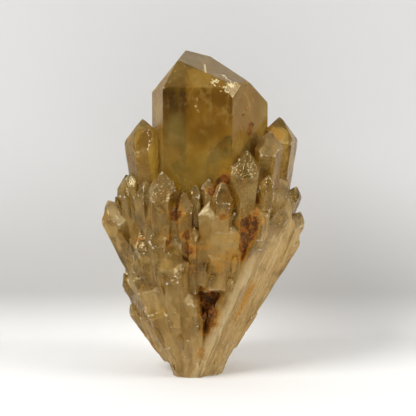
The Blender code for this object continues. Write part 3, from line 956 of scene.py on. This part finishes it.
def milk_colour(nodes, at):
    """The milky quartz's colour: patches, streaks along the growth, pale worn edges with a painted
    highlight, and painted light and shade on the facets, the end faces, the slab and the hollows.
    """
    look = chosen()
    milk = nodes.layered(
        nodes.mix(at.z.ramp(22.0, 62.0), look.milk, HIGH_MILK),
        (at.cloud.ramp(0.46, 0.68) * 0.6, CREAM),
        (at.slab * 0.75, SLAB_CREAM),
        (at.tall, TALL_MILK),
        (at.front, FRONT_MILK),
        (at.tone.ramp(0.2, 1.0) * at.besides * 0.3, PALE_FACET),
        (at.windows * 0.84 * (1 - at.slab * 0.5), DARK_WINDOW),
        (at.grown.ramp(0.44, 0.28) * (0.2 + at.slab * 0.4), PALE_STREAK),
        # Painted light from above on upward-facing end faces.
        (at.ends * (0.3 + at.cloud * 0.5), END_FACE),
        (at.z.ramp(20.0, 4.0) * 0.4, ROOT),
        (at.depth * 0.7, DEEP),
        (at.glints, GLINT),
        (at.strand.ramp(0.50, 0.30) * at.slab * 0.55, DARK_STRAND),
        (at.strand.ramp(0.54, 0.70) * at.slab * 0.6, PALE_STRAND),
        (at.ridge * 0.9, PALE_RIDGE),
        (at.valley * 0.6, VALLEY),
        (at.edge.ramp(0.15, 0.7) * at.cloud.ramp(0.3, 0.6) * 0.6, WORN_EDGE),
        ((at.bright + at.rim).clamped(), FLAKE),
    )
    rust = nodes.mix((at.speck * 0.6 + at.grain * 0.4).ramp(0.46, 0.60), look.rust, BRIGHT_RUST)
    return nodes.layered(
        milk,
        ((at.ochre + at.dust).clamped(), look.ochre),
        (at.seam * 0.85, SEAM),
        (at.rusty, rust),
    )


def milkiness(at):
    """How milky the crystal looks. Windows of clear crystal stay open between milky patches."""
    frosted = at.frost * 1.05 - at.windows * at.frost.ramp(0.0, 0.35) * 0.45
    frosted = frosted + (at.tone - 0.5) * at.frost * 0.3 + at.slab * 0.25
    stained = at.rusty * 1.2 + at.ochre * 0.4
    lined = (at.seam + at.edge.ramp(0.1, 0.5) * 0.5 + at.glints) * at.frost
    return (frosted + stained + lined + at.haze + at.bright).clamped() * MOST_MILKY


def citrine_material():
    """Clear citrine at the points that turns to milky, rust-stained quartz at the root."""
    look = chosen()
    material, nodes = new_material("citrine")
    at = crystal_surface(nodes)
    add_window(nodes, at)
    add_quartz(at)
    add_iron(nodes, at)
    lines = at.steps * (0.3 + at.tall * 0.1)
    grit = (at.grain * 1.3 + at.speck) * at.besides * (1 - at.ends * 0.7)
    bump = nodes.add("ShaderNodeBump", None, {
        "Strength": BUMP_STRENGTH, "Distance": BUMP_DEPTH, "Height": lines + grit,
    })
    clear = nodes.add("ShaderNodeBsdfPrincipled", None, {
        "Base Color": honey_colour(nodes, at),
        "Roughness": 0.012 + at.frost * at.besides * 0.08,
        "IOR": CLEAR_IOR, "Specular IOR Level": 0.3, "Specular Tint": rgba(SHEEN),
        "Transmission Weight": CLEAR_SHARE, "Normal": bump,
    })
    milky_roughness = 0.15 + (at.grain - 0.5) * 0.3 + at.rusty * 0.45 - at.tall * 0.14
    milky = nodes.add("ShaderNodeBsdfPrincipled", None, {
        "Base Color": milk_colour(nodes, at),
        "Roughness": milky_roughness.clamped(),
        "IOR": MILKY_IOR, "Specular IOR Level": 0.4, "Specular Tint": rgba(SHEEN),
        "Transmission Weight": MILKY_SHARE, "Normal": bump,
    })
    both = nodes.add("ShaderNodeMixShader", None, {0: milkiness(at), 1: clear, 2: milky})
    inside = nodes.add("ShaderNodeVolumeAbsorption", None, {
        "Color": rgba(look.tint), "Density": look.tint_strength,
    })
    nodes.add("ShaderNodeOutputMaterial", None, {"Surface": both, "Volume": inside})
    return material


# The card under and behind the cluster: its colours, with a painted shadow at the wall's foot and
# painted shade on the floor far in front; the heights in metres between which the floor's turns
# into the wall's and the wall pales out of its painted shadow, and how far in front the floor
# darkens.
CARD_FLOOR = (0.93, 0.925, 0.90)
CARD_WALL_FOOT = (0.60, 0.595, 0.58)
CARD_WALL = (0.745, 0.745, 0.74)
CARD_AHEAD = (0.20, 0.20, 0.20)
FLOOR_TO_WALL = (-0.004, 0.016)
WALL_PALES = (0.0, 0.07)
FLOOR_DARKENS = (-0.14, -0.30)


def stage_material():
    """A pale card that fades from the floor to the wall, with a painted shadow at the wall's foot and
    painted shade on the floor far in front.
    """
    material, nodes = new_material("pale card")
    place = nodes.add("ShaderNodeTexCoord", None, None, 3)
    height = nodes.add("ShaderNodeSeparateXYZ", None, {0: place}, 2)
    # The wall is darker at its foot: a painted shadow.
    wall = nodes.mix(height.ramp(*WALL_PALES), CARD_WALL_FOOT, CARD_WALL)
    colour = nodes.layered(
        nodes.mix(height.ramp(*FLOOR_TO_WALL), CARD_FLOOR, wall),
        # The floor is darker far in front: painted shade.
        (height.other(1).ramp(*FLOOR_DARKENS), CARD_AHEAD),
    )
    surface = nodes.add("ShaderNodeBsdfPrincipled", None, {"Base Color": colour, "Roughness": 0.85})
    # The card is open from behind, so that the cluster can be looked at from all sides.
    behind = nodes.add("ShaderNodeNewGeometry", None, None, 6)
    gone = nodes.add("ShaderNodeBsdfTransparent")
    card = nodes.add("ShaderNodeMixShader", None, {0: behind, 1: surface, 2: gone})
    nodes.add("ShaderNodeOutputMaterial", None, {"Surface": card})
    return material


# The pieces.

# Points up to the first height keep their places, so that the cut stays flat, and the relief is
# at its fullest from the second one on.
CUT_STAYS = 0.3
FOOT_RISE = 3.0
# How much frosted crystal is rounded off, how far a normal points up on an end face, and the
# angle in degrees from which an edge is sharp.
ROUNDED_OFF = 0.4
END_FACE_UP = (0.42, 0.57)
SHARP_ANGLE = 28.0


class CITRINE_OT_crystals(bpy.types.Operator):
    """Builds the whole cluster of crystals over the solid"""

    bl_idname = "citrine.crystals"
    bl_label = "Crystals"

    def execute(self, context):
        look = chosen()
        points, faces = welded_mesh(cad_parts[NODE].data)
        points, faces = refined(points, faces, look.detail)
        height = points[:, 2] / MM
        frost = frost_at(points)
        tall = on_tall_crystal(points)
        cavity = smoothed(closed_in(points, faces), faces, 2, 0.5)
        bend = smoothed(bend_at(points, faces), faces, 1, 0.4)
        up = point_normals(points, faces)[:, 2]
        soft = smoothed(points, faces, 1, ROUNDED_OFF * np.clip(frost, 0, 1)[:, None])
        soft[height < CUT_STAYS] = points[height < CUT_STAYS]
        piece = new_object("citrine", soft, faces)
        set_values(
            piece.data, frost=frost * faded(height, 0.0, FOOT_RISE), cavity=cavity,
            rust=near(points, RUST), film=near(points, FILM), slab=slab_at(points),
            crease=np.clip(bend, 0, 1), edge=np.clip(-bend, 0, 1), tall=tall,
            front=on_front_face(points) & tall, ends=faded(up, *END_FACE_UP) * ~tall,
        )
        applied(piece, growth_relief(citrine_material()), {"Height": look.ridge})
        # The relief faded out at the foot, but the colours don't.
        set_values(piece.data, frost=frost)
        piece.data.polygons.foreach_set("use_smooth", np.ones(len(piece.data.polygons), bool))
        piece.data.set_sharp_from_angle(angle=math.radians(SHARP_ANGLE))
        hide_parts(NODE)
        finish_piece(piece)
        return {"FINISHED"}


# Where young crystals grow: between these heights, on faces that turn this little from the way of
# growth, mostly in hollows, and on quartz this milky.
YOUNG_FROM = (5.0, 11.0)
YOUNG_UP_TO = (66.0, 60.0)
YOUNG_SIDE_FACES = 0.42
YOUNG_IN_HOLLOWS = 1.6
YOUNG_IN_THE_OPEN = 0.12
YOUNG_ON_FROST = 0.3
# How milky they are, at least and at most, and how much of the hollows' darkness they take.
YOUNG_FROST = (0.35, 0.9)
YOUNG_SHADE = 0.5


class CITRINE_OT_young_crystals(bpy.types.Operator):
    """Grows small pointed crystals between the larger ones"""

    bl_idname = "citrine.young_crystals"
    bl_label = "Young crystals"

    def execute(self, context):
        look = chosen()
        grown_on = bpy.data.objects["citrine"].data
        points, faces = mesh_arrays(grown_on)
        frost, cavity, slab, tall = (
            values_of(grown_on, name) for name in ("frost", "cavity", "slab", "tall")
        )
        arm = points / MM - FAN_CENTRE
        way = arm / np.linalg.norm(arm, axis=1, keepdims=True)
        turned = abs((point_normals(points, faces) * way).sum(axis=1))
        height = points[:, 2] / MM
        grow = faded(height, *YOUNG_FROM) * faded(height, *YOUNG_UP_TO)
        grow *= (turned < YOUNG_SIDE_FACES) * (1 - slab) * (1 - tall)
        grow *= np.clip(cavity * YOUNG_IN_HOLLOWS, YOUNG_IN_THE_OPEN, 1) * (frost > YOUNG_ON_FROST)
        young = bpy.data.objects.new("young_crystals", grown_on.copy())
        context.scene.collection.objects.link(young)
        none = np.zeros(len(points))
        set_values(
            young.data, grow=grow, frost=np.clip(frost, *YOUNG_FROST),
            cavity=cavity * YOUNG_SHADE, crease=none, edge=none, tall=none, front=none, ends=none,
        )
        applied(young, young_crystals(grown_on.materials[0]), {
            "Centre": tuple(Vector(FAN_CENTRE) * MM), "Apart": look.apart,
            "Thickness": look.thickness, "Length": look.length,
        })
        young.data.polygons.foreach_set("use_smooth", np.zeros(len(young.data.polygons), bool))
        finish_piece(young)
        return {"FINISHED"}


# The stage.

# The lights: name, place, what each points at, and its size, in metres, and its power in watts.
LIGHTS = (
    ("key light", (-0.48, -0.36, 0.68), (0, 0, 0.04), 0.42, 5.4),
    ("side light", (0.65, -0.25, 0.45), (0, 0, 0.05), 0.4, 2.8),
)
ROOM_COLOUR = (0.31, 0.31, 0.32)


def area_light(name, place, target, size, power):
    light = bpy.data.lights.new(name, "AREA")
    light.shape = "DISK"
    light.size = size
    light.energy = power
    made = bpy.data.objects.new(name, light)
    made.location = place
    aim = Vector(target) - Vector(place)
    made.rotation_euler = aim.to_track_quat("-Z", "Y").to_euler()
    bpy.context.scene.collection.objects.link(made)


def add_room():
    """The even light from all around."""
    world = bpy.data.worlds.new("room")
    world.use_nodes = True
    world.node_tree.nodes["Background"].inputs["Color"].default_value = rgba(ROOM_COLOUR)
    bpy.context.scene.world = world


# The camera: its distance in metres, its elevation in degrees, and its picture in millimetres.
CAMERA_DISTANCE = 0.8
CAMERA_ELEVATION = 12.0
# The middle of the picture, right of and above the model's origin in the camera's own plane.
PICTURE_MIDDLE = (2.67, 53.7)
PICTURE_WIDTH = 138.67
SENSOR = 36.0


def add_camera():
    """A camera in front of the cluster that looks down on it a little."""
    camera = bpy.data.cameras.new("camera")
    camera.sensor_width = SENSOR
    camera.lens = SENSOR * CAMERA_DISTANCE / (PICTURE_WIDTH * MM)
    made = bpy.data.objects.new("camera", camera)
    lean = math.radians(CAMERA_ELEVATION)
    ahead = Vector((0, math.cos(lean), -math.sin(lean)))
    turn = ahead.to_track_quat("-Z", "Y")
    aside = turn @ Vector((PICTURE_MIDDLE[0] * MM, PICTURE_MIDDLE[1] * MM, 0))
    made.location = aside - ahead * CAMERA_DISTANCE
    made.rotation_euler = turn.to_euler()
    bpy.context.scene.collection.objects.link(made)
    bpy.context.scene.camera = made


# The backdrop: how far behind the model it rises, its bend and its reach.
WALL_BACK = 50.0
WALL_BEND = 14.0
STAGE_REACH = 1200.0
BEND_STEPS = 16


def backdrop_profile():
    """The floor, the bend and the wall, as places from front to back and in height."""
    bend = []
    for k in range(BEND_STEPS + 1):
        angle = math.pi / 2 * k / BEND_STEPS
        bend.append((
            WALL_BACK - WALL_BEND + WALL_BEND * math.sin(angle),
            WALL_BEND - WALL_BEND * math.cos(angle),
        ))
    return [(-STAGE_REACH, 0.0), *bend, (WALL_BACK, STAGE_REACH)]


class CITRINE_OT_stage(bpy.types.Operator):
    """Adds the floor, the backdrop, the lights and the camera"""

    bl_idname = "citrine.stage"
    bl_label = "Stage"

    def execute(self, context):
        profile = backdrop_profile()
        count = len(profile)
        points = [
            (x * MM, y * MM, z * MM) for x in (-STAGE_REACH, STAGE_REACH) for y, z in profile
        ]
        faces = [(k, k + count, k + count + 1, k + 1) for k in range(count - 1)]
        backdrop = new_object("backdrop", points, faces, stage_material())
        backdrop.data.polygons.foreach_set("use_smooth", np.ones(count - 1, bool))
        for light in LIGHTS:
            area_light(*light)
        add_room()
        context.scene.view_settings.view_transform = "Standard"
        add_camera()
        return {"FINISHED"}


class CITRINE_PT_panel(bpy.types.Panel):
    """Lists the settings and the pieces"""

    bl_idname = "CITRINE_PT_panel"
    bl_label = "Citrine Cluster"
    bl_space_type = "VIEW_3D"
    bl_region_type = "UI"
    bl_category = "Citrine"

    def draw(self, context):
        for name in CitrineSettings.__annotations__:
            self.layout.prop(context.scene.citrine, name)
        for operator in OPERATORS:
            self.layout.operator(operator.bl_idname)


OPERATORS = (CITRINE_OT_crystals, CITRINE_OT_young_crystals, CITRINE_OT_stage)
CLASSES = (CitrineSettings, *OPERATORS, CITRINE_PT_panel)


def register():
    for added in CLASSES:
        bpy.utils.register_class(added)
    bpy.types.Scene.citrine = bpy.props.PointerProperty(type=CitrineSettings)


def unregister():
    del bpy.types.Scene.citrine
    for added in reversed(CLASSES):
        bpy.utils.unregister_class(added)


def main():
    register()
    bpy.ops.citrine.crystals()
    bpy.ops.citrine.young_crystals()
    bpy.ops.citrine.stage()


if __name__ == "__main__":
    main()
